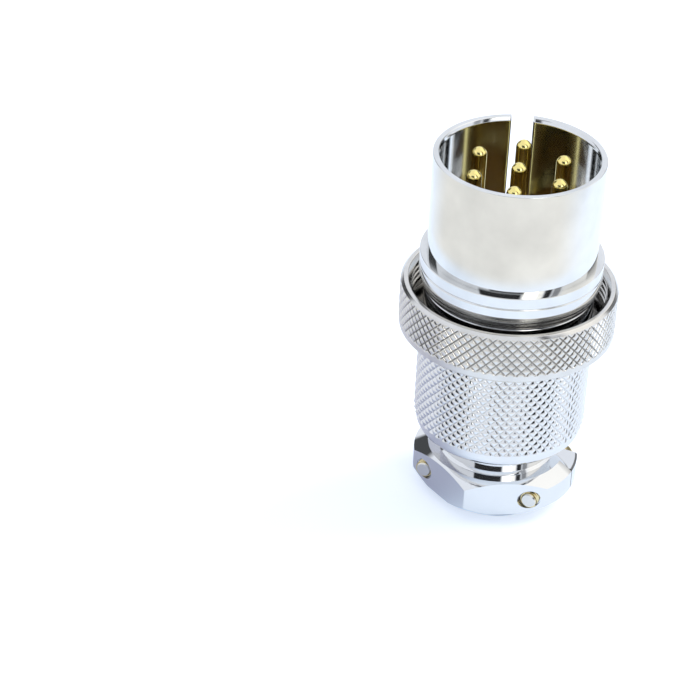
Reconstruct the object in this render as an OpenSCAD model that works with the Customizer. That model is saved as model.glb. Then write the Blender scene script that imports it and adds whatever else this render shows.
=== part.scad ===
// Industrial circular connector: cable plug with seven pin contacts, standing on its cable clamp.
// Millimetres. Z is the connector's axis, the clamp is at the bottom and the contacts point up.

/* [Shell] */
// Height from the clamp's end face to the rim of the shell
total_h = 57.5; // [50:0.1:70]
// Outer diameter of the plug tube
shell_d = 25; // [20:0.1:32]
// Wall of the plug tube
shell_wall = 1.1; // [0.8:0.05:2]
// Length of the plug tube above the collar
tube_h = 15.9; // [12:0.1:20]
// Diameter of the collar
collar_d = 27; // [25:0.1:32]
// Width of the key slot
key_w = 3.2; // [2:0.1:5]
// Direction of the key slot, from +X towards +Y
key_turn = 110; // [0:1:359]

/* [Contacts] */
// Diameter of a contact
pin_d = 2.3; // [1:0.1:3]
// Circle through the outer contacts
pin_circle = 14.2; // [10:0.1:16]
// Contacts on the circle
pin_count = 6; // [3:1:8]
// Depth of the contact tips below the rim
pin_drop = 1.35; // [1:0.05:5]
// Turn of the contact circle from the key slot
pin_turn = -4; // [-20:1:20]

/* [Coupling ring] */
// Diameter of the ring's thread at its crests
ring_thread_d = 28.8; // [28:0.1:31]
// Wall from the thread's crests to the lands of the knurl
ring_wall = 1.7; // [1.5:0.1:3]
// Height of the ring
ring_h = 7.8; // [6:0.1:10]
// Diamonds round the ring
ring_diamond_count = 68; // [40:2:80]

/* [Barrel] */
// Diameter of the barrel's smooth band
barrel_d = 25.2; // [24:0.1:28]
// Diameter over the knurled grip
grip_d = 25.9; // [24.5:0.1:29]
// Height of the knurled grip
grip_h = 14.9; // [8:0.1:16]
// Diamonds round the grip
grip_diamond_count = 55; // [40:1:80]

/* [Cable clamp] */
// Width across the flats of the hex
hex_af = 21.6; // [18:0.1:26]
// Height of the hex
hex_h = 5.8; // [5:0.1:9]
// Diameter of the neck
neck_d = 17; // [15:0.1:20]
// Visible length of the neck
neck_h = 3.8; // [2:0.1:6]
// Diameter of the cable hole
cable_d = 12.4; // [8:0.1:13]
// Distance of each clamp screw from the axis
screw_x = 8.6; // [8:0.1:10]
// Diameter of a clamp screw
screw_d = 2.6; // [2:0.1:3]

/* [Hidden] */
$fn = 96;
eps = 0.01;
pin_fn = 32;
fit_gap = 0.05;
loose_gap = 0.3;

// Heights of the clamp, from the end face up
boss_h = 1.8;
boss_d = 17.5;
hex_top = boss_h + hex_h;
split_gap = 0.2;
saw_depth = 1.1;
saw_rise = 1.2;
saw_low = hex_top - saw_depth;
saw_high = hex_top + saw_rise;
barrel_bottom = hex_top + neck_h;
neck_foot = 0.4;
neck_bore_d = 13.8;
tail_thread_d = neck_d - 1.2;
tail_thread_h = 5;

// Heights of the barrel and of what it holds
rear_band_h = 2.3;
grip_bottom = barrel_bottom + rear_band_h;
grip_top = grip_bottom + grip_h;
grip_depth = 0.45;
grip_diamond_h = 1.55;
sleeve_wall = 0.5;
groove_wall = 0.3;
front_band_h = 7.4;
barrel_top = grip_top + front_band_h;
barrel_corner = 1.6;
barrel_bore_d = 21.2;
shell_thread_d = 22.6;
shell_thread_h = 8.4;
shell_thread_bottom = barrel_top - shell_thread_h;

// Heights of the ring
ring_d = ring_thread_d + 2 * ring_wall;
ring_bottom = grip_top + loose_gap;
ring_top = ring_bottom + ring_h;
ring_flange_h = 1.6;
ring_bore_d = barrel_d + 2 * loose_gap;
ring_step = 0.1;
ring_plain_d = ring_d - 2 * ring_step;
ring_chamfer = 0.4;
ring_rim_h = 1.2;
ring_band = ring_h - ring_rim_h - ring_chamfer;
ring_band_bottom = ring_bottom + ring_rim_h;
ring_diamond_h = 1.55;
groove_depth = 0.35;
groove_share = 0.3;

// Heights of the shell and of its insert
collar_top = total_h - tube_h;
seat_gap = 0.1;
collar_bottom = barrel_top + seat_gap;
collar_cut = 0.75;
collar_band_h = 3.3;
collar_step_z = collar_top - collar_band_h;
collar_line_drop = 1.7;
collar_line_z = collar_top - collar_line_drop;
line_w = 0.2;
line_depth = 0.12;
shell_bore_d = shell_d - 2 * shell_wall;
insert_rise = 0.9;
insert_face = collar_top + insert_rise;
lip_h = 1;
lip_d = 18.8;
insert_d = 20.2;
insert_half_h = 4;
insert_joint = insert_face - lip_h - insert_half_h;
insert_rear_bottom = insert_joint - insert_half_h;
insert_ring_h = 2.6;
insert_ring_bottom = insert_rear_bottom - insert_ring_h;
insert_ring_bore_d = 17.6;
key_bottom = insert_face;
mouth_w = 0.25;
mouth_h = 0.55;

// Contacts
pin_tip = total_h - pin_drop;
pin_flange_d = 3.5;
pin_flange_h = 1;
cup_d = 2.6;
cup_bore_d = 1.9;
cup_depth = 4.5;
cup_reach = 2;
cup_bottom = insert_ring_bottom - cup_reach;
cup_window_h = 3;

// Clamp screws
screw_rise = 2.6;
screw_z = boss_h + screw_rise;
saddle_play = 0.2;
screw_hole_d = screw_d + 2 * fit_gap;
saddle_hole_d = screw_d + 2 * saddle_play;
head_d = 4.6;
head_h = 1.8;
head_seat = 4.6;
head_room = 0.4;
screw_end = 7.9;
relief_play = 0.25;
relief_d = screw_d + 2 * relief_play;
relief_y = 6.5;
recess_w = 0.7;
recess_l = 2.6;
recess_h = 1;

// Corner of a hex with this width across its flats, and the turned bar that is just wider
hex_corner = hex_af / sqrt(3);
bar_out = 0.05;
bar_r = hex_corner + bar_out;
top_chamfer_in = 0.35;
top_chamfer_r = hex_af / 2 - top_chamfer_in;
top_chamfer = 32;
end_chamfer_out = 0.3;
end_chamfer_r = hex_af / 2 + end_chamfer_out;
end_chamfer = 43;

chrome = [0.80, 0.82, 0.85];
nickel = [0.72, 0.70, 0.66];
gold = [0.86, 0.70, 0.32];
zinc_yellow = [0.82, 0.74, 0.48];
phenolic = [0.22, 0.13, 0.07];

// A lattice point of a diamond knurl: column c, row r, at a radius
function knurl_point(c, r, columns, rows, radius, z0, h) =
    [radius * cos(360 * c / columns), radius * sin(360 * c / columns), z0 + h * r / rows];

// A plug with a diamond knurl round it: valleys cross at even lattice points, tips are at odd ones
module knurl_plug(root_d, depth, z0, h, diamond_count, diamond_h) {
    columns = 2 * diamond_count;
    rows = round(2 * h / diamond_h);
    lattice = [for (r = [0 : rows]) for (c = [0 : columns - 1])
        knurl_point(c, r, columns, rows,
                    root_d / 2 + ((c + r) % 2 == 1 && r > 0 && r < rows ? depth : 0), z0, h)];
    slopes = [for (r = [0 : rows - 1]) for (c = [0 : columns - 1])
        let (a = r * columns + c, b = r * columns + (c + 1) % columns, d = a + columns, e = b + columns)
        each (c + r) % 2 == 0 ? [[a, e, b], [a, d, e]] : [[a, d, b], [b, d, e]]];
    ends = [[for (c = [0 : columns - 1]) c], [for (c = [columns - 1 : -1 : 0]) rows * columns + c]];
    polyhedron(points = lattice, faces = concat(slopes, ends), convexity = 6);
}

// Turned front piece: plug tube, stepped collar and threaded tail
module front_shell() {
    edge = 0.15;
    color(chrome) rotate(key_turn) difference() {
        rotate_extrude() polygon([
            [insert_d / 2 + fit_gap, shell_thread_bottom],
            [shell_thread_d / 2 - edge, shell_thread_bottom],
            [shell_thread_d / 2, shell_thread_bottom + edge],
            [shell_thread_d / 2, collar_bottom],
            [collar_d / 2 - collar_cut, collar_bottom],
            [collar_d / 2, collar_step_z],
            [collar_d / 2, collar_line_z - line_w],
            [collar_d / 2 - line_depth, collar_line_z - line_w / 2],
            [collar_d / 2, collar_line_z],
            [collar_d / 2, collar_top - edge],
            [collar_d / 2 - edge, collar_top],
            [shell_d / 2, collar_top],
            [shell_d / 2, total_h - edge],
            [shell_d / 2 - edge, total_h],
            [shell_bore_d / 2 + mouth_w, total_h],
            [shell_bore_d / 2, total_h - mouth_h],
            [shell_bore_d / 2, insert_face],
            [lip_d / 2, insert_face],
            [lip_d / 2, insert_face - lip_h],
            [insert_d / 2 + fit_gap, insert_face - lip_h]]);
        translate([lip_d / 2, -key_w / 2, key_bottom]) cube([shell_d, key_w, total_h]);
    }
}

// Places its children at each contact of the circle and at the centre
module at_pins() {
    children();
    for (i = [1 : pin_count]) rotate(key_turn + pin_turn + 360 / pin_count * i)
        translate([pin_circle / 2, 0, 0]) children();
}

// Front half of the insulator
module insert_front() {
    color(phenolic) difference() {
        rotate_extrude() polygon([
            [0, insert_joint],
            [insert_d / 2, insert_joint],
            [insert_d / 2, insert_face - lip_h],
            [lip_d / 2 - fit_gap, insert_face - lip_h],
            [lip_d / 2 - fit_gap, insert_face],
            [0, insert_face]]);
        at_pins() translate([0, 0, insert_joint - 1])
            cylinder(d = pin_d + 2 * fit_gap, h = total_h, $fn = pin_fn);
    }
}

// Rear half of the insulator, with a pocket for each contact's flange
module insert_rear() {
    color(phenolic) difference() {
        translate([0, 0, insert_rear_bottom]) cylinder(d = insert_d, h = insert_joint - insert_rear_bottom);
        at_pins() {
            translate([0, 0, insert_rear_bottom - 1])
                cylinder(d = cup_d + 2 * fit_gap, h = total_h, $fn = pin_fn);
            translate([0, 0, insert_joint - pin_flange_h])
                cylinder(d = pin_flange_d + 2 * fit_gap, h = total_h, $fn = pin_fn);
        }
    }
}

// Threaded ring that locks the insulator, with two notches for a key
module insert_ring() {
    notch_w = 2.4;
    notch_h = 1.2;
    color(chrome) difference() {
        translate([0, 0, insert_ring_bottom]) cylinder(d = insert_d, h = insert_ring_h);
        translate([0, 0, insert_ring_bottom - 1]) cylinder(d = insert_ring_bore_d, h = insert_ring_h + 2);
        translate([-insert_d, -notch_w / 2, insert_ring_bottom - 1])
            cube([2 * insert_d, notch_w, notch_h + 1]);
    }
}

// One contact: domed pin, trapped flange and solder cup
module contact() {
    color(gold) difference() {
        rotate_extrude($fn = pin_fn) {
            polygon([
                [0, cup_bottom],
                [cup_d / 2, cup_bottom],
                [cup_d / 2, insert_joint - pin_flange_h],
                [pin_flange_d / 2, insert_joint - pin_flange_h],
                [pin_flange_d / 2, insert_joint],
                [pin_d / 2, insert_joint],
                [pin_d / 2, pin_tip - pin_d / 2],
                [0, pin_tip - pin_d / 2]]);
            intersection() {
                translate([0, pin_tip - pin_d / 2]) circle(d = pin_d);
                translate([0, pin_tip - pin_d / 2 - eps]) square(pin_d);
            }
        }
        translate([0, 0, cup_bottom - 1]) cylinder(d = cup_bore_d, h = cup_depth + 1, $fn = pin_fn);
        translate([-cup_d, 0, cup_bottom - 1]) cube([2 * cup_d, cup_d, cup_window_h + 1]);
    }
}

// Contact by number: 1 is the centre, the rest go round the circle
module pin(number) {
    if (number == 1) contact();
    else rotate(key_turn + pin_turn + 360 / pin_count * (number - 2))
        translate([pin_circle / 2, 0, 0]) contact();
}

// Ring with a rear flange that the shell's collar stops; its knurl's lands are left from the turned surface
module coupling_ring() {
    root_d = ring_d - 2 * groove_depth;
    mouth_chamfer = 0.6;
    bore_chamfer = 0.8;
    color(nickel) union() {
        rotate_extrude() polygon([
            [ring_bore_d / 2, ring_bottom + bore_chamfer],
            [ring_bore_d / 2 + bore_chamfer, ring_bottom],
            [ring_plain_d / 2 - ring_chamfer, ring_bottom],
            [ring_plain_d / 2, ring_bottom + ring_chamfer],
            [ring_plain_d / 2, ring_band_bottom],
            [root_d / 2 - groove_wall, ring_band_bottom],
            [root_d / 2 - groove_wall, ring_band_bottom + ring_band],
            [ring_plain_d / 2, ring_band_bottom + ring_band],
            [ring_plain_d / 2, ring_top - ring_chamfer],
            [ring_plain_d / 2 - ring_chamfer, ring_top],
            [ring_thread_d / 2 + mouth_chamfer, ring_top],
            [ring_thread_d / 2, ring_top - mouth_chamfer],
            [ring_thread_d / 2, ring_bottom + ring_flange_h],
            [ring_bore_d / 2, ring_bottom + ring_flange_h]]);
        difference() {
            intersection() {
                knurl_plug(root_d, groove_depth / groove_share, ring_band_bottom, ring_band,
                           ring_diamond_count, ring_diamond_h);
                translate([0, 0, ring_bottom]) cylinder(d = ring_d, h = ring_h);
            }
            translate([0, 0, ring_bottom]) cylinder(d = root_d - 2 * sleeve_wall, h = ring_h);
        }
    }
}

// Turned barrel with a knurled grip, threaded at both ends
module rear_barrel() {
    root_d = grip_d - 2 * grip_depth;
    chamfer = 0.25;
    color(chrome) union() {
        rotate_extrude() {
            polygon([
                [tail_thread_d / 2 + fit_gap, barrel_bottom],
                [barrel_d / 2 - barrel_corner, barrel_bottom],
                [barrel_d / 2 - barrel_corner, barrel_bottom + barrel_corner],
                [barrel_d / 2, barrel_bottom + barrel_corner],
                [barrel_d / 2, grip_bottom],
                [root_d / 2 - groove_wall, grip_bottom],
                [root_d / 2 - groove_wall, grip_top],
                [barrel_d / 2, grip_top],
                [barrel_d / 2, barrel_top - chamfer],
                [barrel_d / 2 - chamfer, barrel_top],
                [shell_thread_d / 2 + fit_gap, barrel_top],
                [shell_thread_d / 2 + fit_gap, shell_thread_bottom - 1],
                [barrel_bore_d / 2, shell_thread_bottom - 1],
                [barrel_bore_d / 2, barrel_bottom + tail_thread_h + 2],
                [tail_thread_d / 2 + fit_gap, barrel_bottom + tail_thread_h]]);
            translate([barrel_d / 2 - barrel_corner, barrel_bottom + barrel_corner])
                circle(r = barrel_corner);
        }
        difference() {
            knurl_plug(root_d, grip_depth, grip_bottom, grip_h, grip_diamond_count, grip_diamond_h);
            translate([0, 0, grip_bottom - 1]) cylinder(d = root_d - 2 * sleeve_wall, h = grip_h + 2);
        }
    }
}

// Space between two opposite flats of the clamp
module between_flats(turn) {
    rotate(turn) translate([-hex_af, -hex_af / 2, 0]) cube([2 * hex_af, hex_af, 2 * hex_top]);
}

// Turned bar, chamfered at both ends, with four flats of a hex that meet along Y; its X sides stay round
module hex_bar() {
    intersection() {
        rotate_extrude() polygon([
            [0, boss_h],
            [end_chamfer_r, boss_h],
            [bar_r, boss_h + (bar_r - end_chamfer_r) * tan(end_chamfer)],
            [bar_r, hex_top - (bar_r - top_chamfer_r) * tan(top_chamfer)],
            [top_chamfer_r, hex_top],
            [0, hex_top]]);
        between_flats(30);
        between_flats(-30);
    }
    cylinder(d = boss_d, h = boss_h + eps);
}

// Clamp half with a round neck that screws into the barrel
module clamp_body() {
    far = 2 * hex_af;
    edge = 0.4;
    color(chrome) difference() {
        union() {
            hex_bar();
            rotate_extrude() polygon([
                [0, hex_top - eps],
                [neck_d / 2 + neck_foot, hex_top - eps],
                [neck_d / 2 + neck_foot, hex_top],
                [neck_d / 2, hex_top + neck_foot],
                [neck_d / 2, barrel_bottom],
                [tail_thread_d / 2, barrel_bottom],
                [tail_thread_d / 2, barrel_bottom + tail_thread_h - edge],
                [tail_thread_d / 2 - edge, barrel_bottom + tail_thread_h],
                [0, barrel_bottom + tail_thread_h]]);
        }
        translate([0, 0, -1]) cylinder(d = cable_d, h = far);
        translate([0, 0, hex_top]) cylinder(d = neck_bore_d, h = far);
        translate([-far / 2, -split_gap / 2, -1]) cube([far, far, saw_high + 1]);
        for (side = [-1, 1]) translate([side * screw_x, 0, screw_z]) rotate([90, 0, 0]) {
            cylinder(d = screw_hole_d, h = far, $fn = pin_fn);
            translate([0, 0, relief_y]) cylinder(d = relief_d, h = far, $fn = pin_fn);
        }
    }
}

// Loose clamp half: a seat for each screw head is cut in from the sloped faces
module clamp_saddle() {
    far = 2 * hex_af;
    seat_d = head_d + 2 * head_room;
    color(chrome) difference() {
        hex_bar();
        translate([0, 0, -1]) cylinder(d = cable_d, h = far);
        translate([-far / 2, split_gap / 2 - far, -1]) cube([far, far, far]);
        translate([-far / 2, -far / 2, saw_low]) cube([far, far, far]);
        for (side = [-1, 1]) translate([side * screw_x, 0, screw_z]) rotate([-90, 0, 0]) {
            translate([0, 0, -1]) cylinder(d = saddle_hole_d, h = far, $fn = pin_fn);
            translate([0, 0, head_seat]) cylinder(d = seat_d, h = far);
            translate([side > 0 ? 0 : -far, -seat_d / 2, head_seat]) cube([far, seat_d, far]);
        }
    }
}

// Clamp screw with a pan head and a plain cross recess
module clamp_screw(side) {
    dome = 0.6;
    tip = 0.3;
    color(zinc_yellow) translate([side * screw_x, 0, screw_z]) rotate([-90, 0, 0]) difference() {
        rotate_extrude($fn = pin_fn) {
            polygon([
                [0, -screw_end],
                [screw_d / 2 - tip, -screw_end],
                [screw_d / 2, tip - screw_end],
                [screw_d / 2, head_seat],
                [head_d / 2, head_seat],
                [head_d / 2, head_seat + head_h - dome],
                [head_d / 2 - dome, head_seat + head_h],
                [0, head_seat + head_h]]);
            translate([head_d / 2 - dome, head_seat + head_h - dome]) circle(r = dome);
        }
        for (turn = [0, 90]) rotate(turn)
            translate([-recess_l / 2, -recess_w / 2, head_seat + head_h - recess_h])
                cube([recess_l, recess_w, head_h]);
    }
}

front_shell();
insert_front();
insert_rear();
insert_ring();
pin(1);  // pin_1
pin(2);  // pin_2
pin(3);  // pin_3
pin(4);  // pin_4
pin(5);  // pin_5
pin(6);  // pin_6
pin(7);  // pin_7
coupling_ring();
rear_barrel();
clamp_body();
clamp_saddle();
clamp_screw(1);  // clamp_screw_1
clamp_screw(-1);  // clamp_screw_2
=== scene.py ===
"""Looks of the circular connector: turned metal, knurls, threads, contacts, studio and camera."""
import math

import bpy
from mathutils import Matrix, Vector


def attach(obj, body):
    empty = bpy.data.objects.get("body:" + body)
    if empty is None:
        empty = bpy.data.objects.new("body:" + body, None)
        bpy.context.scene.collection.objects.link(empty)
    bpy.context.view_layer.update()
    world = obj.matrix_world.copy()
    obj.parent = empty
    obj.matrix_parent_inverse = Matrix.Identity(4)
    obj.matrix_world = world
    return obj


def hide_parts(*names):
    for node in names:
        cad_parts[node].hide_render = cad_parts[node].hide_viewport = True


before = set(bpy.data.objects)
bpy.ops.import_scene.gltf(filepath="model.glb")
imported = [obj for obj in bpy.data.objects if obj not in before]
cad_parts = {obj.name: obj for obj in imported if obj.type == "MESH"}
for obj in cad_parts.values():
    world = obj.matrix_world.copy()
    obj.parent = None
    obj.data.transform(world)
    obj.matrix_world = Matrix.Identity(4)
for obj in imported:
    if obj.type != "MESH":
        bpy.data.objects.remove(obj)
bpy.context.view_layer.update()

# Sizes of the CAD model in millimetres and degrees; its diameters are radii here
MM = 0.001
FIT_GAP = 0.05
TOTAL_H = 57.5
SHELL_R = 12.5
SHELL_BORE_R = 11.4
SHELL_THREAD_R = 11.3
SHELL_THREAD_BOTTOM = 27.6
MOUTH_W = 0.25
MOUTH_H = 0.55
COLLAR_R = 13.5
COLLAR_TOP = 41.6
COLLAR_STEP = 38.3
COLLAR_BOTTOM = 36.1
COLLAR_CUT = 0.75
LINE_DROP = 1.7
LINE_Z = COLLAR_TOP - LINE_DROP
LINE_W = 0.2
LINE_DEPTH = 0.12
KEY_W = 3.2
KEY_TURN = 110.0
PIN_R = 1.15
PIN_COUNT = 6
PIN_CIRCLE_R = 7.1
PIN_TURN = -4.0
PIN_TIP = 56.15
PIN_FLANGE_R = 1.75
PIN_FLANGE_H = 1.0
CUP_R = 1.3
CUP_BORE_R = 0.95
CUP_BOTTOM = 28.9
CUP_DEPTH = 4.5
INSERT_R = 10.1
INSERT_FACE = 42.5
INSERT_JOINT = 37.5
LIP_R = 9.4
LIP_H = 1.0
RING_R = 16.1
RING_PLAIN_R = 16.0
RING_BORE_R = 12.9
RING_THREAD_R = 14.4
RING_BOTTOM = 28.9
RING_H = 7.8
RING_FLANGE_H = 1.6
RING_CHAMFER = 0.4
RING_RIM_H = 1.2
RING_BAND_BOTTOM = RING_BOTTOM + RING_RIM_H
RING_BAND_H = 6.2
RING_GROOVE = 0.35
BARREL_R = 12.6
BARREL_BORE_R = 10.6
BARREL_BOTTOM = 11.4
BARREL_TOP = 36.0
BARREL_CORNER = 1.6
TAIL_THREAD_R = 7.9
TAIL_THREAD_H = 5.0
GRIP_R = 12.95
GRIP_BOTTOM = 13.7
GRIP_H = 14.9
SCREW_X = 8.6
SCREW_Z = 4.4
SCREW_R = 1.3
SCREW_END = 7.9
HEAD_R = 2.3
HEAD_H = 1.8
HEAD_SEAT = 4.6

# Diamonds of the two knurls, as counted in the photograph, and mesh cells across a diamond
RING_DIAMONDS = 68
RING_TIERS = 4
GRIP_DIAMONDS = 55
GRIP_TIERS = 9.5
KNURL_CELLS = 10

# Depth of the grip's worn diamonds, radius of fine edges and reach of the weld, in millimetres
GRIP_GROOVE = 0.3
EDGE = 0.1
WELD_REACH = 0.002

# Largest share of a side that a rounded corner takes
CORNER_SHARE = 0.4

# Haze of a finish: where its noise starts and ends, detail, and spread of the roughness
HAZE_ENDS = (0.3, 0.7)
HAZE_DETAIL = 4.0
ROUGH_SPREAD = 0.3

# Painted shade in narrow gaps: rays, reach in millimetres, and the open share from which a place gets no
# painted shade
GAP_RAYS = 4
GAP_REACH = 2.5
GAP_OPEN_SHARE = 0.45

# Grain of a finish: scale against the haze, detail and depth in millimetres
GRAIN_SCALE = 20.0
GRAIN_DETAIL = 2.0
GRAIN_DEPTH = 0.02

# Half width of the edge between two tones, and height of the screws' bare tip, in millimetres
TONE_EDGE = 0.05
BARE_TIP_H = 0.2

# Camera, fitted to the photograph: focal length in its pixels, place in millimetres before the turn
PHOTO_SIZE = 700
FOCAL_PX = 2500.0
CAMERA_PITCH = 32.93
CAMERA_ROLL = 2.6
CAMERA_PLACE = (-23.0, -314.5, 226.8)
PHOTO_TURN = 23.4

# Colours of the studio: the paper, the floor as the camera sees it, the floor's painted reflection as
# metal sees it, and the room
WHITE = (1.0, 1.0, 1.0, 1.0)
BLACK = (0.0, 0.0, 0.0, 1.0)
PAPER = (0.60, 0.60, 0.60, 1.0)
SEEN_FLOOR = (0.50, 0.56, 0.66, 1.0)
COOL_FLOOR = (0.28, 0.39, 0.55, 1.0)
WARM_FLOOR = (0.22, 0.21, 0.16, 1.0)
SHADED_FLOOR = (0.0, 0.02, 0.14, 1.0)
ROOM_WALL = (0.93, 0.98, 1.07, 1.0)

# Sides of the floor's painted reflection that metal sees, warm further out in front and painted shade on
# the left: turn from the camera's azimuth to the left in degrees, ends of its spread as cosines, and
# ends of its distance in metres
WARM_SIDE = (25.0, (-0.8, 0.3), (0.081, 0.086))
SHADED_SIDE = (110.0, (0.1, 0.9), (0.078, 0.064))

# Bright things that metal sees: sides from the camera's azimuth, heights and softness in degrees, colour
BRIGHT_THINGS = (
    ((70, 165), (22, 75), 6.0, (1.22, 1.22, 1.20, 1.0)),
    ((14, 42), (20, 52), 1.5, (1.60, 1.60, 1.56, 1.0)),
    ((16, 34), (22, 40), 1.5, (3.20, 3.20, 3.10, 1.0)),
)

# Dark things that metal sees: sides and heights as above, and darkness; all have one softness
DARK_SOFT = 1.5
DARK_THINGS = (
    ((-45, 12), (27, 46), 0.96),
    ((-30, 16), (14, 28), 0.96),
    ((44, 54), (6, 62), 0.96),
    ((57, 68), (6, 50), 0.6),
    ((118, 158), (4, 30), 0.8),
    ((-154, -122), (4, 34), 0.92),
)


def feed(tree, socket, value):
    """Links another node's output to an input, or sets the input to a plain value."""
    if isinstance(value, bpy.types.NodeSocket):
        tree.links.new(value, socket)
    else:
        socket.default_value = value


def calculate(tree, operation, *values):
    """Output of a node that calculates with numbers."""
    node = tree.nodes.new("ShaderNodeMath")
    node.operation = operation
    for socket, value in zip(node.inputs, values):
        feed(tree, socket, value)
    return node.outputs["Value"]


def vector_step(tree, operation, result, vector, other=(0.0, 0.0, 0.0)):
    """Output of a node that calculates with vectors: its Vector or its Value."""
    node = tree.nodes.new("ShaderNodeVectorMath")
    node.operation = operation
    tree.links.new(vector, node.inputs[0])
    node.inputs[1].default_value = other
    return node.outputs[result]


def ramp(tree, value, ends, results=(0.0, 1.0), course="LINEAR"):
    """Output of a node that goes from one result to the other as a value goes between two ends."""
    node = tree.nodes.new("ShaderNodeMapRange")
    node.interpolation_type = course
    tree.links.new(value, node.inputs["Value"])
    for name, number in zip(("From Min", "From Max", "To Min", "To Max"), (*ends, *results)):
        node.inputs[name].default_value = number
    return node.outputs["Result"]


def mix(tree, kind, factor, first, second, blend="MIX"):
    """Output of a node that goes from one number or colour to another by a factor."""
    node = tree.nodes.new("ShaderNodeMix")
    node.data_type = kind
    node.blend_type = blend
    for name, value in zip(("Factor", "A", "B"), (factor, first, second)):
        feed(tree, node.inputs[name], value)
    return node.outputs["Result"]


def noise(tree, place, scale, detail):
    """Output of a node that varies softly from place to place."""
    node = tree.nodes.new("ShaderNodeTexNoise")
    node.inputs["Scale"].default_value = scale
    node.inputs["Detail"].default_value = detail
    tree.links.new(place, node.inputs["Vector"])
    return node.outputs["Fac"]


def material(name, colour, metallic, roughness, haze, haze_scale, bump=0.0, painted_gap_shade=0.0):
    """A surface whose colour and roughness vary in patches; painted shade darkens its narrow gaps."""
    mat = bpy.data.materials.new(name)
    mat.use_nodes = True
    tree = mat.node_tree
    shader = tree.nodes["Principled BSDF"]
    shader.inputs["Metallic"].default_value = metallic
    place = tree.nodes.new("ShaderNodeTexCoord").outputs["Object"]
    patches = noise(tree, place, haze_scale, HAZE_DETAIL)
    tint = tree.nodes.new("ShaderNodeValToRGB")
    hazy = tuple(c * (1.0 - haze) for c in colour)
    for element, position, end in zip(tint.color_ramp.elements, HAZE_ENDS, (hazy, colour)):
        element.position = position
        element.color = end + (1.0,)
    tree.links.new(patches, tint.inputs["Fac"])
    # Painted shade: the colour darkens where the gap node finds other surfaces close by
    gap = tree.nodes.new("ShaderNodeAmbientOcclusion")
    gap.samples = GAP_RAYS
    gap.inputs["Distance"].default_value = GAP_REACH * MM
    gap_shading = ramp(tree, gap.outputs["AO"], (0.0, GAP_OPEN_SHARE), (1.0 - painted_gap_shade, 1.0))
    shade = mix(tree, "RGBA", 1.0, tint.outputs["Color"], gap_shading, blend="MULTIPLY")
    tree.links.new(shade, shader.inputs["Base Color"])
    spread = (roughness * (1.0 - ROUGH_SPREAD), roughness * (1.0 + ROUGH_SPREAD))
    tree.links.new(ramp(tree, patches, (0.0, 1.0), spread), shader.inputs["Roughness"])
    if bump:
        relief = tree.nodes.new("ShaderNodeBump")
        relief.inputs["Strength"].default_value = bump
        relief.inputs["Distance"].default_value = GRAIN_DEPTH * MM
        grain = noise(tree, place, haze_scale * GRAIN_SCALE, GRAIN_DETAIL)
        tree.links.new(grain, relief.inputs["Height"])
        tree.links.new(relief.outputs["Normal"], shader.inputs["Normal"])
    return mat


def two_tone(mat, socket, axis, limit, inner):
    """Gives a finish another colour or roughness below a height or within a radius, in mm."""
    tree = mat.node_tree
    target = tree.nodes["Principled BSDF"].inputs[socket]
    outer = target.links[0].from_socket
    place = tree.nodes.new("ShaderNodeTexCoord").outputs["Object"]
    if axis == "Z":
        split = tree.nodes.new("ShaderNodeSeparateXYZ")
        tree.links.new(place, split.inputs["Vector"])
        measure = split.outputs["Z"]
    else:
        flat = vector_step(tree, "MULTIPLY", "Vector", place, (1.0, 1.0, 0.0))
        measure = vector_step(tree, "LENGTH", "Value", flat)
    beyond = ramp(tree, measure, ((limit - TONE_EDGE) * MM, (limit + TONE_EDGE) * MM))
    kind = "RGBA" if socket == "Base Color" else "FLOAT"
    tree.links.new(mix(tree, kind, beyond, inner, outer), target)


# The last number of each finish says how deeply painted shade darkens its narrow gaps
CHROME = material("chrome_plate", (0.80, 0.80, 0.80), metallic=1.0, roughness=0.05,
                  haze=0.04, haze_scale=130.0, painted_gap_shade=0.5)
SHELL_CHROME = material("shell_chrome_plate", (0.84, 0.84, 0.83), metallic=1.0, roughness=0.06,
                        haze=0.18, haze_scale=120.0, painted_gap_shade=0.5)
NICKEL = material("nickel_plate", (0.75, 0.73, 0.70), metallic=1.0, roughness=0.16,
                  haze=0.10, haze_scale=400.0, bump=0.1, painted_gap_shade=0.8)
GOLD = material("gold_plate", (1.0, 0.83, 0.32), metallic=1.0, roughness=0.12,
                haze=0.06, haze_scale=600.0, painted_gap_shade=0.2)
ZINC = material("yellow_zinc", (0.88, 0.75, 0.44), metallic=1.0, roughness=0.20,
                haze=0.12, haze_scale=900.0, bump=0.1, painted_gap_shade=0.4)
PHENOLIC = material("brown_phenolic", (0.105, 0.050, 0.010), metallic=0.0, roughness=0.38,
                    haze=0.3, haze_scale=500.0, bump=0.3)
two_tone(SHELL_CHROME, "Roughness", "radius", SHELL_BORE_R + MOUTH_W, inner=0.11)
two_tone(ZINC, "Base Color", "Z", BARE_TIP_H - SCREW_END, inner=(0.74, 0.72, 0.68, 1.0))


def polar(radius, angle):
    """The two coordinates of a point on a circle."""
    return radius * math.cos(angle), radius * math.sin(angle)


def soften(profile, radius=EDGE, steps=4, closed=False):
    """A profile with its corners rounded, its two ends too if it is closed."""
    out = []
    count = len(profile)
    for k, corner in enumerate(profile):
        if not closed and k in (0, count - 1):
            out.append(tuple(corner))
            continue
        here = Vector(corner)
        back = Vector(profile[k - 1]) - here
        ahead = Vector(profile[(k + 1) % count]) - here
        cut = min(radius, CORNER_SHARE * back.length, CORNER_SHARE * ahead.length)
        start = here + back.normalized() * cut
        end = here + ahead.normalized() * cut
        for step in range(steps + 1):
            t = step / steps
            out.append(tuple(start * (1 - t) ** 2 + here * (2 * t * (1 - t)) + end * t ** 2))
    return out


def arc(centre, radius, first, last, steps):
    """Points of a circular arc in the profile plane, angles in degrees."""
    points = []
    for k in range(steps + 1):
        across, up = polar(radius, math.radians(first + (last - first) * k / steps))
        points.append((centre[0] + across, centre[1] + up))
    return points


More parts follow.
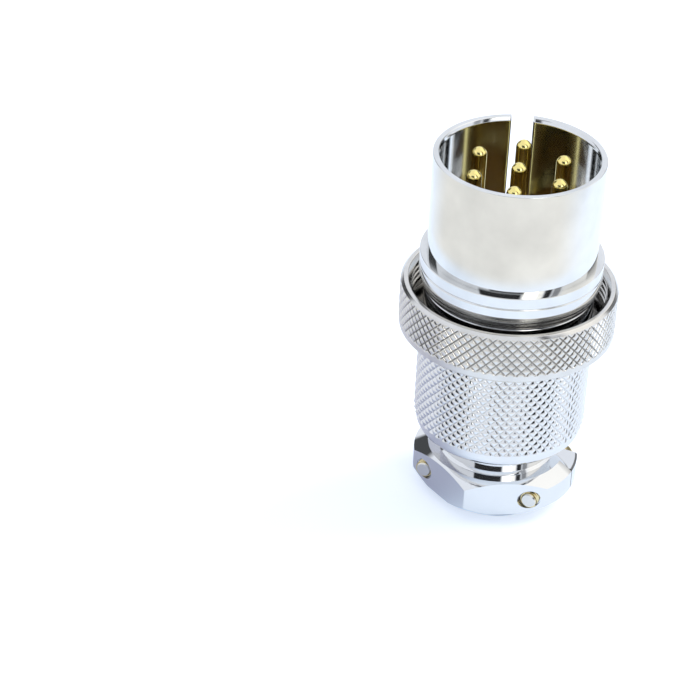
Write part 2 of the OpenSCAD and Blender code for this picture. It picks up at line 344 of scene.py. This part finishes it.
class Piece:
    """Collects circles of points in millimetres and the faces between them, then makes one object."""

    def __init__(self):
        self.points = []
        self.faces = []

    def ring(self, radius, z, columns, lead=0.0):
        """A circle of points; lead raises each point in proportion to its angle."""
        first = len(self.points)
        for c in range(columns):
            place = polar(radius, 2 * math.pi * c / columns)
            self.points.append((*place, z + lead * c / columns))
        return first

    def rings(self, profile, columns):
        """A circle of points for each point of a profile."""
        return [self.ring(r, z, columns) for r, z in profile]

    def skin(self, rings, columns):
        """Quads between each circle and the next; they look outwards where the circles go up."""
        for low, high in zip(rings, rings[1:]):
            for c in range(columns):
                n = (c + 1) % columns
                self.faces.append((low + c, low + n, high + n, high + c))

    def lathe(self, profile, columns, closed=True):
        """Turns a profile about the axis; its points run so that faces look outwards."""
        rings = self.rings(profile, columns)
        if closed:
            rings.append(rings[0])
        self.skin(rings, columns)

    def build(self, name, finish, body, node, sharp=40.0):
        """The object: welded, smooth but for edges sharper than the angle, riding on its body."""
        mesh = bpy.data.meshes.new(name)
        mesh.from_pydata([tuple(v * MM for v in p) for p in self.points], [], self.faces)
        mesh.validate()
        piece = bpy.data.objects.new(name, mesh)
        bpy.context.scene.collection.objects.link(piece)
        weld = piece.modifiers.new("weld", "WELD")
        weld.merge_threshold = WELD_REACH * MM
        mesh.polygons.foreach_set("use_smooth", [True] * len(mesh.polygons))
        mesh.set_sharp_from_angle(angle=math.radians(sharp))
        even = piece.modifiers.new("even_normals", "WEIGHTED_NORMAL")
        even.keep_sharp = True
        mesh.materials.append(finish)
        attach(piece, body)
        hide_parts(node)
        return piece


def off_groove(pitches):
    """Distance from the nearest groove, in pitches."""
    return abs(pitches - round(pitches))


def knurl(piece, tip_r, depth, edge_r, bottom, height, diamonds, tiers, shape, run_out):
    """A band of diamonds that runs out to plain edges in a few rows of cells."""
    columns = diamonds * KNURL_CELLS
    rows = round(tiers * KNURL_CELLS)
    starts = []
    for row in range(rows + 1):
        starts.append(len(piece.points))
        fade = min(1.0, min(row, rows - row) / run_out)
        z = bottom + height * row / rows
        for col in range(columns):
            falling = 2 * off_groove((col + row) / KNURL_CELLS)
            rising = 2 * off_groove((col - row) / KNURL_CELLS)
            radius = tip_r - depth + depth * shape(falling, rising)
            radius = edge_r + (radius - edge_r) * fade
            piece.points.append((*polar(radius, 2 * math.pi * col / columns), z))
    for row in range(rows):
        for col in range(columns):
            nxt = (col + 1) % columns
            a = starts[row] + col
            b = starts[row] + nxt
            c = starts[row + 1] + nxt
            d = starts[row + 1] + col
            to_rising = off_groove((col - row) / KNURL_CELLS)
            to_falling = off_groove((col + row + 1) / KNURL_CELLS)
            if to_rising < to_falling:
                piece.faces += [(a, b, c), (a, c, d)]
            else:
                piece.faces += [(a, b, d), (b, c, d)]
    return starts[0], starts[-1], columns


def thread(piece, crest_r, root_r, low, high, pitch, columns):
    """A helical thread between two heights, with four points a turn and flat ends."""
    phases = ((0.0, crest_r), (0.25, crest_r), (0.5, root_r), (0.75, root_r))
    turns = math.ceil((high - low) / pitch) + 1
    rings = []
    for turn in range(-1, turns):
        for phase, radius in phases:
            rings.append(piece.ring(radius, low + (turn + phase) * pitch, columns, lead=pitch))
    for ring_start in rings:
        for k in range(ring_start, ring_start + columns):
            x, y, z = piece.points[k]
            piece.points[k] = (x, y, min(max(z, low), high))
    for under, over in zip(rings, rings[1:]):
        for c in range(columns - 1):
            piece.faces.append((under + c, under + c + 1, over + c + 1, over + c))
    lift = len(phases)
    last = columns - 1
    for k in range(len(rings) - lift - 1):
        piece.faces.append((rings[k] + last, rings[k + lift], rings[k + lift + 1], rings[k + 1] + last))


def front_shell():
    """Plug tube with its key slot, stepped collar and a plain tail at the thread's radius."""
    columns = 240
    # Narrow strips of this height beside the edges keep the collar's bands flat in the mirror
    hold = 0.2
    bore_r = INSERT_R + FIT_GAP
    lip_bottom = INSERT_FACE - LIP_H
    low_band = (COLLAR_STEP, COLLAR_STEP + hold, LINE_Z - LINE_W - hold, LINE_Z - LINE_W)
    high_band = (LINE_Z, LINE_Z + hold, COLLAR_TOP - hold, COLLAR_TOP)
    outline = [(bore_r, lip_bottom), (bore_r, SHELL_THREAD_BOTTOM),
               (SHELL_THREAD_R, SHELL_THREAD_BOTTOM), (SHELL_THREAD_R, COLLAR_BOTTOM)]
    outline += soften([
        (SHELL_THREAD_R, COLLAR_BOTTOM), *turned_cone(), *((COLLAR_R, z) for z in low_band),
        (COLLAR_R - LINE_DEPTH, LINE_Z - LINE_W / 2), *((COLLAR_R, z) for z in high_band),
        (SHELL_R, COLLAR_TOP)])
    outline += [(SHELL_R, INSERT_FACE), (LIP_R, INSERT_FACE), (LIP_R, lip_bottom)]
    piece = Piece()
    piece.lathe(outline, columns)
    slotted_tube(piece, columns)
    piece.build("plug_shell", SHELL_CHROME, "connector_body", "front_shell")


def turned_cone():
    """Profile of the cone under the collar, with the marks that the lathe tool cut into it."""
    marks = 3
    depth = 0.04
    deepest = 0.3
    low = Vector((COLLAR_R - COLLAR_CUT, COLLAR_BOTTOM))
    high = Vector((COLLAR_R, COLLAR_STEP))
    points = [tuple(low)]
    for k in range(marks):
        r, z = low.lerp(high, (k + deepest) / marks)
        points.append((r - depth, z))
        points.append(tuple(low.lerp(high, (k + 1.0) / marks)))
    return points[:-1]


def slotted_tube(piece, columns):
    """Wall above the collar, swept round from one side of the key slot to the other."""
    corner = 0.08
    wall = soften([(SHELL_R, INSERT_FACE), (SHELL_R, TOTAL_H), (SHELL_BORE_R + MOUTH_W, TOTAL_H),
                   (SHELL_BORE_R, TOTAL_H - MOUTH_H), (SHELL_BORE_R, INSERT_FACE)])
    middle = (SHELL_R + SHELL_BORE_R) / 2
    inset = []
    for r, z in wall:
        shift = math.copysign(min(corner, abs(middle - r)), middle - r)
        inset.append((r + shift, min(z, TOTAL_H - corner)))
    rows = []
    for c in range(-1, columns + 2):
        at_slot = c in (-1, columns + 1)
        profile = inset if at_slot else wall
        half = KEY_W / 2 if at_slot else KEY_W / 2 + corner
        share = min(max(c / columns, 0.0), 1.0)
        rows.append(len(piece.points))
        for r, z in profile:
            gap = math.asin(half / r)
            angle = math.radians(KEY_TURN) + gap + (2 * math.pi - 2 * gap) * share
            piece.points.append((*polar(r, angle), z))
    count = len(wall)
    for first, second in zip(rows, rows[1:]):
        for k in range(count):
            n = (k + 1) % count
            piece.faces.append((first + k, second + k, second + n, first + n))
    piece.faces.append(tuple(rows[0] + k for k in range(count)))
    piece.faces.append(tuple(rows[-1] + k for k in reversed(range(count))))


def insert():
    """Front half of the insulator, whose face shows between the contacts."""
    columns = 128
    core_r = 0.4
    edge = 0.15
    face_r = LIP_R - FIT_GAP
    shoulder = INSERT_FACE - LIP_H
    outline = [(core_r, INSERT_FACE), (core_r, INSERT_JOINT), (INSERT_R, INSERT_JOINT),
               (INSERT_R, shoulder), (face_r, shoulder), (face_r, INSERT_FACE)]
    piece = Piece()
    piece.lathe(soften(outline, edge, closed=True), columns)
    piece.build("contact_block", PHENOLIC, "connector_body", "insert_front")


def contact(number):
    """One contact: domed pin, flange and solder cup. Number 1 is the centre one."""
    columns = 48
    dome_steps = 12
    cup_floor = CUP_BOTTOM + CUP_DEPTH
    flange_bottom = INSERT_JOINT - PIN_FLANGE_H
    outline = [(0.0, cup_floor), (CUP_BORE_R, cup_floor), (CUP_BORE_R, CUP_BOTTOM),
               (CUP_R, CUP_BOTTOM), (CUP_R, flange_bottom), (PIN_FLANGE_R, flange_bottom),
               (PIN_FLANGE_R, INSERT_JOINT), (PIN_R, INSERT_JOINT)]
    outline += arc((0.0, PIN_TIP - PIN_R), PIN_R, 0, 90, dome_steps)
    piece = Piece()
    piece.lathe(outline, columns, closed=False)
    pin = piece.build("contact_%d" % number, GOLD, "connector_body", "pin_%d" % number)
    if number > 1:
        angle = math.radians(KEY_TURN + PIN_TURN + 360.0 / PIN_COUNT * (number - 2))
        pin.location = (*polar(PIN_CIRCLE_R * MM, angle), 0.0)


def flat_diamond(share_a, share_b):
    """Height on the ring's diamonds by the shares from either groove: narrow grooves, flat lands."""
    return 1.0 - (1.0 - min(share_a, share_b)) ** 4


def crowned_diamond(share_a, share_b):
    """Height on the grip's diamonds by the shares from either groove: between pyramid and cushion."""
    pointed = 0.55
    pyramid = 1.0 - (1.0 - min(share_a, share_b)) ** 2
    cushion = pyramid * (1.0 - (1.0 - max(share_a, share_b)) ** 2)
    return pointed * pyramid + (1.0 - pointed) * cushion


def ring():
    """Coupling ring: flat-topped diamonds, chamfered rims, inner thread with a run-out groove."""
    thread_depth = 0.6
    pitch = 1.0
    groove_h = 1.8
    bore_chamfer = 0.8
    piece = Piece()
    low, high, columns = knurl(
        piece, RING_R, RING_GROOVE, RING_PLAIN_R, RING_BAND_BOTTOM, RING_BAND_H,
        RING_DIAMONDS, RING_TIERS, flat_diamond, run_out=2)
    root_r = RING_THREAD_R + thread_depth
    top = RING_BOTTOM + RING_H
    thread_top = top - thread_depth
    flange_top = RING_BOTTOM + RING_FLANGE_H
    groove_top = flange_top + groove_h
    rim = soften([(RING_PLAIN_R, RING_BAND_BOTTOM + RING_BAND_H), (RING_PLAIN_R - RING_CHAMFER, top),
                  (root_r, top), (RING_THREAD_R, thread_top)])
    piece.skin([high] + piece.rings(rim, columns), columns)
    thread(piece, RING_THREAD_R, root_r, groove_top, thread_top, pitch, columns // 2)
    base = [(RING_THREAD_R, groove_top)]
    base += soften([(root_r, groove_top), (root_r, flange_top), (RING_BORE_R, flange_top),
                    (RING_BORE_R, RING_BOTTOM + bore_chamfer), (RING_BORE_R + bore_chamfer, RING_BOTTOM),
                    (RING_PLAIN_R - RING_CHAMFER, RING_BOTTOM),
                    (RING_PLAIN_R, RING_BOTTOM + RING_CHAMFER), (RING_PLAIN_R, RING_BAND_BOTTOM)])
    piece.skin(piece.rings(base, columns) + [low], columns)
    piece.build("knurled_ring", NICKEL, "ring", "coupling_ring", sharp=35.0)


def barrel():
    """Rear barrel: smooth band, fine knurl and a rounded rear corner."""
    chamfer = 0.25
    thread_run_out = 1.0
    cone_h = 2.0
    corner_steps = 12
    piece = Piece()
    low, high, columns = knurl(
        piece, GRIP_R, GRIP_GROOVE, GRIP_R - GRIP_GROOVE, GRIP_BOTTOM, GRIP_H,
        GRIP_DIAMONDS, GRIP_TIERS, crowned_diamond, run_out=1)
    inner_r = SHELL_THREAD_R + FIT_GAP
    tail_r = TAIL_THREAD_R + FIT_GAP
    corner_r = BARREL_R - BARREL_CORNER
    thread_end = SHELL_THREAD_BOTTOM - thread_run_out
    tail_top = BARREL_BOTTOM + TAIL_THREAD_H
    front = soften([(BARREL_R, GRIP_BOTTOM + GRIP_H), (BARREL_R, BARREL_TOP - chamfer),
                    (BARREL_R - chamfer, BARREL_TOP), (inner_r, BARREL_TOP), (inner_r, thread_end),
                    (BARREL_BORE_R, thread_end), (BARREL_BORE_R, tail_top + cone_h), (tail_r, tail_top),
                    (tail_r, BARREL_BOTTOM), (corner_r, BARREL_BOTTOM)])
    rear = arc((corner_r, BARREL_BOTTOM + BARREL_CORNER), BARREL_CORNER, 270, 360, corner_steps)
    rear.append((BARREL_R, GRIP_BOTTOM))
    piece.skin([high] + piece.rings(front + rear, columns) + [low], columns)
    piece.build("knurled_barrel", CHROME, "connector_body", "rear_barrel", sharp=30.0)


def cross_recess(x, y):
    """Depth of the driver recess at a point of a screw's head."""
    wing_l = 1.35
    wing_w = 0.36
    corner = 0.62
    depth = 1.1
    slope = 3.2
    along = max(abs(x) - wing_l, abs(y) - wing_w)
    across = max(abs(y) - wing_l, abs(x) - wing_w)
    centre = (abs(x) + abs(y) - 2 * corner) / math.sqrt(2)
    inside = -min(along, across, centre)
    return min(max(inside, 0.0) * slope, depth)


def clamp_screw(number, side):
    """Pan-head screw: domed head with a cross recess, and a threaded shank."""
    columns = 96
    head_rings = 44
    edge = 0.55
    edge_steps = 6
    dome = 0.35
    seat_edge = 0.1
    thread_top = 3.5
    thread_depth = 0.2
    pitch = 0.45
    tip_h = 0.3
    tip_step = 0.1
    recess_turn = 25.0
    top = HEAD_SEAT + HEAD_H
    flat_r = HEAD_R - edge
    piece = Piece()
    starts = []
    for k in range(head_rings + 1):
        r = flat_r * k / head_rings
        starts.append(len(piece.points))
        for c in range(columns):
            x, y = polar(r, 2 * math.pi * c / columns)
            piece.points.append((x, y, top - dome * (r / HEAD_R) ** 2 - cross_recess(x, y)))
    rim_z = top - dome * (flat_r / HEAD_R) ** 2
    profile = arc((flat_r, rim_z - edge), edge, 90, 0, edge_steps)[1:]
    profile += [(HEAD_R, HEAD_SEAT + seat_edge), (HEAD_R - seat_edge, HEAD_SEAT),
                (SCREW_R, HEAD_SEAT), (SCREW_R, thread_top)]
    head = starts + piece.rings(profile, columns)
    piece.skin(head[::-1], columns)
    thread_end = tip_h - SCREW_END
    thread(piece, SCREW_R, SCREW_R - thread_depth, thread_end, thread_top, pitch, columns)
    tip = ((0.0, -SCREW_END), (SCREW_R - tip_h, -SCREW_END), (SCREW_R - tip_step, thread_end))
    piece.skin(piece.rings(tip, columns), columns)
    screw = piece.build("cross_screw_%d" % number, ZINC, "screw_%d" % number,
                        "clamp_screw_%d" % number, sharp=35.0)
    place = Matrix.Translation(Vector((side * SCREW_X, 0.0, SCREW_Z)) * MM)
    lie_down = Matrix.Rotation(math.radians(-90), 4, "X")
    turn = Matrix.Rotation(math.radians(recess_turn * side), 4, "Z")
    screw.matrix_world = place @ lie_down @ turn


def dress_cad(node, finish, bevel=0.0):
    """A CAD node that stays: its finish and, if it has a bevel, fine edges of that width in mm."""
    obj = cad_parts[node]
    obj.data.materials.clear()
    obj.data.materials.append(finish)
    if bevel:
        soft = obj.modifiers.new("edges", "BEVEL")
        soft.width = bevel * MM
        soft.segments = 2
        soft.limit_method = "ANGLE"
        soft.angle_limit = math.radians(35)
        soft.harden_normals = True


def sector(tree, place, turn, spread, limits):
    """Output that is 1 on a side of the floor: by its turn, its spread and its limits of distance."""
    side = math.radians(PHOTO_TURN - 90.0 - turn)
    way = vector_step(tree, "NORMALIZE", "Vector", place)
    ahead = vector_step(tree, "DOT_PRODUCT", "Value", way, (*polar(1.0, side), 0.0))
    reach = vector_step(tree, "LENGTH", "Value", place)
    across = ramp(tree, ahead, spread, course="SMOOTHSTEP")
    along = ramp(tree, reach, limits, course="SMOOTHSTEP")
    return calculate(tree, "MULTIPLY", across, along)


def floor_paper():
    """White paper with a soft shadow; metal sees it glow with a painted reflection: cool, warm further
    out in front, and painted shade on the left.
    """
    mat = bpy.data.materials.new("floor_paper")
    mat.use_nodes = True
    tree = mat.node_tree
    shader = tree.nodes["Principled BSDF"]
    shader.inputs["Base Color"].default_value = PAPER
    shader.inputs["Roughness"].default_value = 0.9
    shader.inputs["Specular IOR Level"].default_value = 0.1
    place = tree.nodes.new("ShaderNodeTexCoord").outputs["Object"]
    rays = tree.nodes.new("ShaderNodeLightPath")
    # Painted reflection: the floor glows for metal only, cool, warm further out in front, and with
    # painted shade on the left
    warmed = mix(tree, "RGBA", sector(tree, place, *WARM_SIDE), COOL_FLOOR, WARM_FLOOR)
    shaded = mix(tree, "RGBA", sector(tree, place, *SHADED_SIDE), warmed, SHADED_FLOOR)
    to_metal = mix(tree, "RGBA", rays.outputs["Is Glossy Ray"], BLACK, shaded)
    to_camera = mix(tree, "RGBA", rays.outputs["Is Camera Ray"], to_metal, SEEN_FLOOR)
    tree.links.new(to_camera, shader.inputs["Emission Color"])
    shader.inputs["Emission Strength"].default_value = 1.0
    return mat


def window(tree, angle, limits, soft):
    """Output that is 1 while an angle is between two limits, in degrees, and fades to 0 outside."""
    low, high = (math.radians(limit) for limit in limits)
    fade = math.radians(soft)
    rise = ramp(tree, angle, (low - fade, low + fade))
    fall = ramp(tree, angle, (high - fade, high + fade), (1.0, 0.0))
    return calculate(tree, "MULTIPLY", rise, fall)


def patch(tree, way, sides, heights, soft):
    """Output that is 1 on one thing in the room and 0 outside it; limits in degrees."""
    across = window(tree, way[0], sides, soft)
    upward = window(tree, way[1], heights, 2 * soft)
    return calculate(tree, "MULTIPLY", across, upward)


def room():
    """White room with bright and dark things for metal to mirror; the camera itself sees white."""
    world = bpy.data.worlds.new("studio_room")
    bpy.context.scene.world = world
    world.use_nodes = True
    tree = world.node_tree
    place = tree.nodes.new("ShaderNodeTexCoord")
    turn = tree.nodes.new("ShaderNodeVectorRotate")
    turn.rotation_type = "Z_AXIS"
    turn.inputs["Angle"].default_value = math.radians(90.0 - PHOTO_TURN)
    tree.links.new(place.outputs["Generated"], turn.inputs["Vector"])
    split = tree.nodes.new("ShaderNodeSeparateXYZ")
    tree.links.new(turn.outputs["Vector"], split.inputs["Vector"])
    azimuth = calculate(tree, "ARCTAN2", split.outputs["Y"], split.outputs["X"])
    elevation = calculate(tree, "ARCSINE", split.outputs["Z"])
    way = (azimuth, elevation)
    dark = 0.0
    for sides, heights, depth in DARK_THINGS:
        thing = calculate(tree, "MULTIPLY", patch(tree, way, sides, heights, DARK_SOFT), depth)
        dark = calculate(tree, "MAXIMUM", dark, thing)
    light = ROOM_WALL
    for sides, heights, soft, colour in BRIGHT_THINGS:
        light = mix(tree, "RGBA", patch(tree, way, sides, heights, soft), light, colour)
    to_metal = tree.nodes["Background"]
    tree.links.new(mix(tree, "RGBA", dark, light, BLACK), to_metal.inputs["Color"])
    to_camera = tree.nodes.new("ShaderNodeBackground")
    to_camera.inputs["Color"].default_value = WHITE
    for back in (to_metal, to_camera):
        back.inputs["Strength"].default_value = 1.0
    rays = tree.nodes.new("ShaderNodeLightPath")
    choice = tree.nodes.new("ShaderNodeMixShader")
    tree.links.new(rays.outputs["Is Camera Ray"], choice.inputs["Fac"])
    tree.links.new(to_metal.outputs["Background"], choice.inputs[1])
    tree.links.new(to_camera.outputs["Background"], choice.inputs[2])
    tree.links.new(choice.outputs["Shader"], tree.nodes["World Output"].inputs["Surface"])


def lamp(name, place, target, size, power, colour):
    """A square soft lamp that looks at a point; metal sees the room's bright things instead."""
    data = bpy.data.lights.new(name, "AREA")
    data.size = size
    data.energy = power
    data.color = colour
    obj = bpy.data.objects.new(name, data)
    obj.location = place
    aim = Vector(target) - Vector(place)
    obj.rotation_euler = aim.to_track_quat("-Z", "Y").to_euler()
    obj.visible_glossy = False
    bpy.context.scene.collection.objects.link(obj)


def studio():
    """Paper floor, white room and a soft lamp overhead, in metres."""
    half = 4.0
    mesh = bpy.data.meshes.new("studio_floor")
    corners = [(-half, -half, 0.0), (half, -half, 0.0), (half, half, 0.0), (-half, half, 0.0)]
    mesh.from_pydata(corners, [], [(0, 1, 2, 3)])
    floor = bpy.data.objects.new("studio_floor", mesh)
    bpy.context.scene.collection.objects.link(floor)
    mesh.materials.append(floor_paper())
    room()
    lamp("right_softbox", place=(0.42, 0.40, 0.55), target=(0.0, 0.0, 0.03), size=0.45,
         power=4.0, colour=(1.0, 0.97, 0.92))


def camera():
    """Camera at the photograph's place, pitch, roll and field of view."""
    pitch = math.radians(CAMERA_PITCH)
    roll = math.radians(CAMERA_ROLL)
    forward = Vector((0.0, math.cos(pitch), -math.sin(pitch)))
    right = Vector((1.0, 0.0, 0.0))
    up = Vector((0.0, math.sin(pitch), math.cos(pitch)))
    across = right * math.cos(roll) + up * math.sin(roll)
    upward = up * math.cos(roll) - right * math.sin(roll)
    axes = Matrix((across, upward, -forward)).transposed().to_4x4()
    data = bpy.data.cameras.new("photo_camera")
    data.sensor_width = 36.0
    data.sensor_fit = "HORIZONTAL"
    data.lens = FOCAL_PX / PHOTO_SIZE * data.sensor_width
    data.clip_start = 0.01
    data.clip_end = 20.0
    obj = bpy.data.objects.new("photo_camera", data)
    turn = Matrix.Rotation(math.radians(PHOTO_TURN), 4, "Z")
    obj.matrix_world = turn @ Matrix.Translation(Vector(CAMERA_PLACE) * MM) @ axes
    bpy.context.scene.collection.objects.link(obj)
    bpy.context.scene.camera = obj


camera()
studio()
front_shell()
insert()
for pin_number in range(1, PIN_COUNT + 2):
    contact(pin_number)
ring()
barrel()
clamp_screw(1, 1)
clamp_screw(2, -1)
dress_cad("clamp_body", CHROME, bevel=0.12)
dress_cad("clamp_saddle", CHROME, bevel=0.12)
dress_cad("insert_rear", PHENOLIC)
dress_cad("insert_ring", CHROME)

bpy.context.scene.view_settings.view_transform = "Standard"
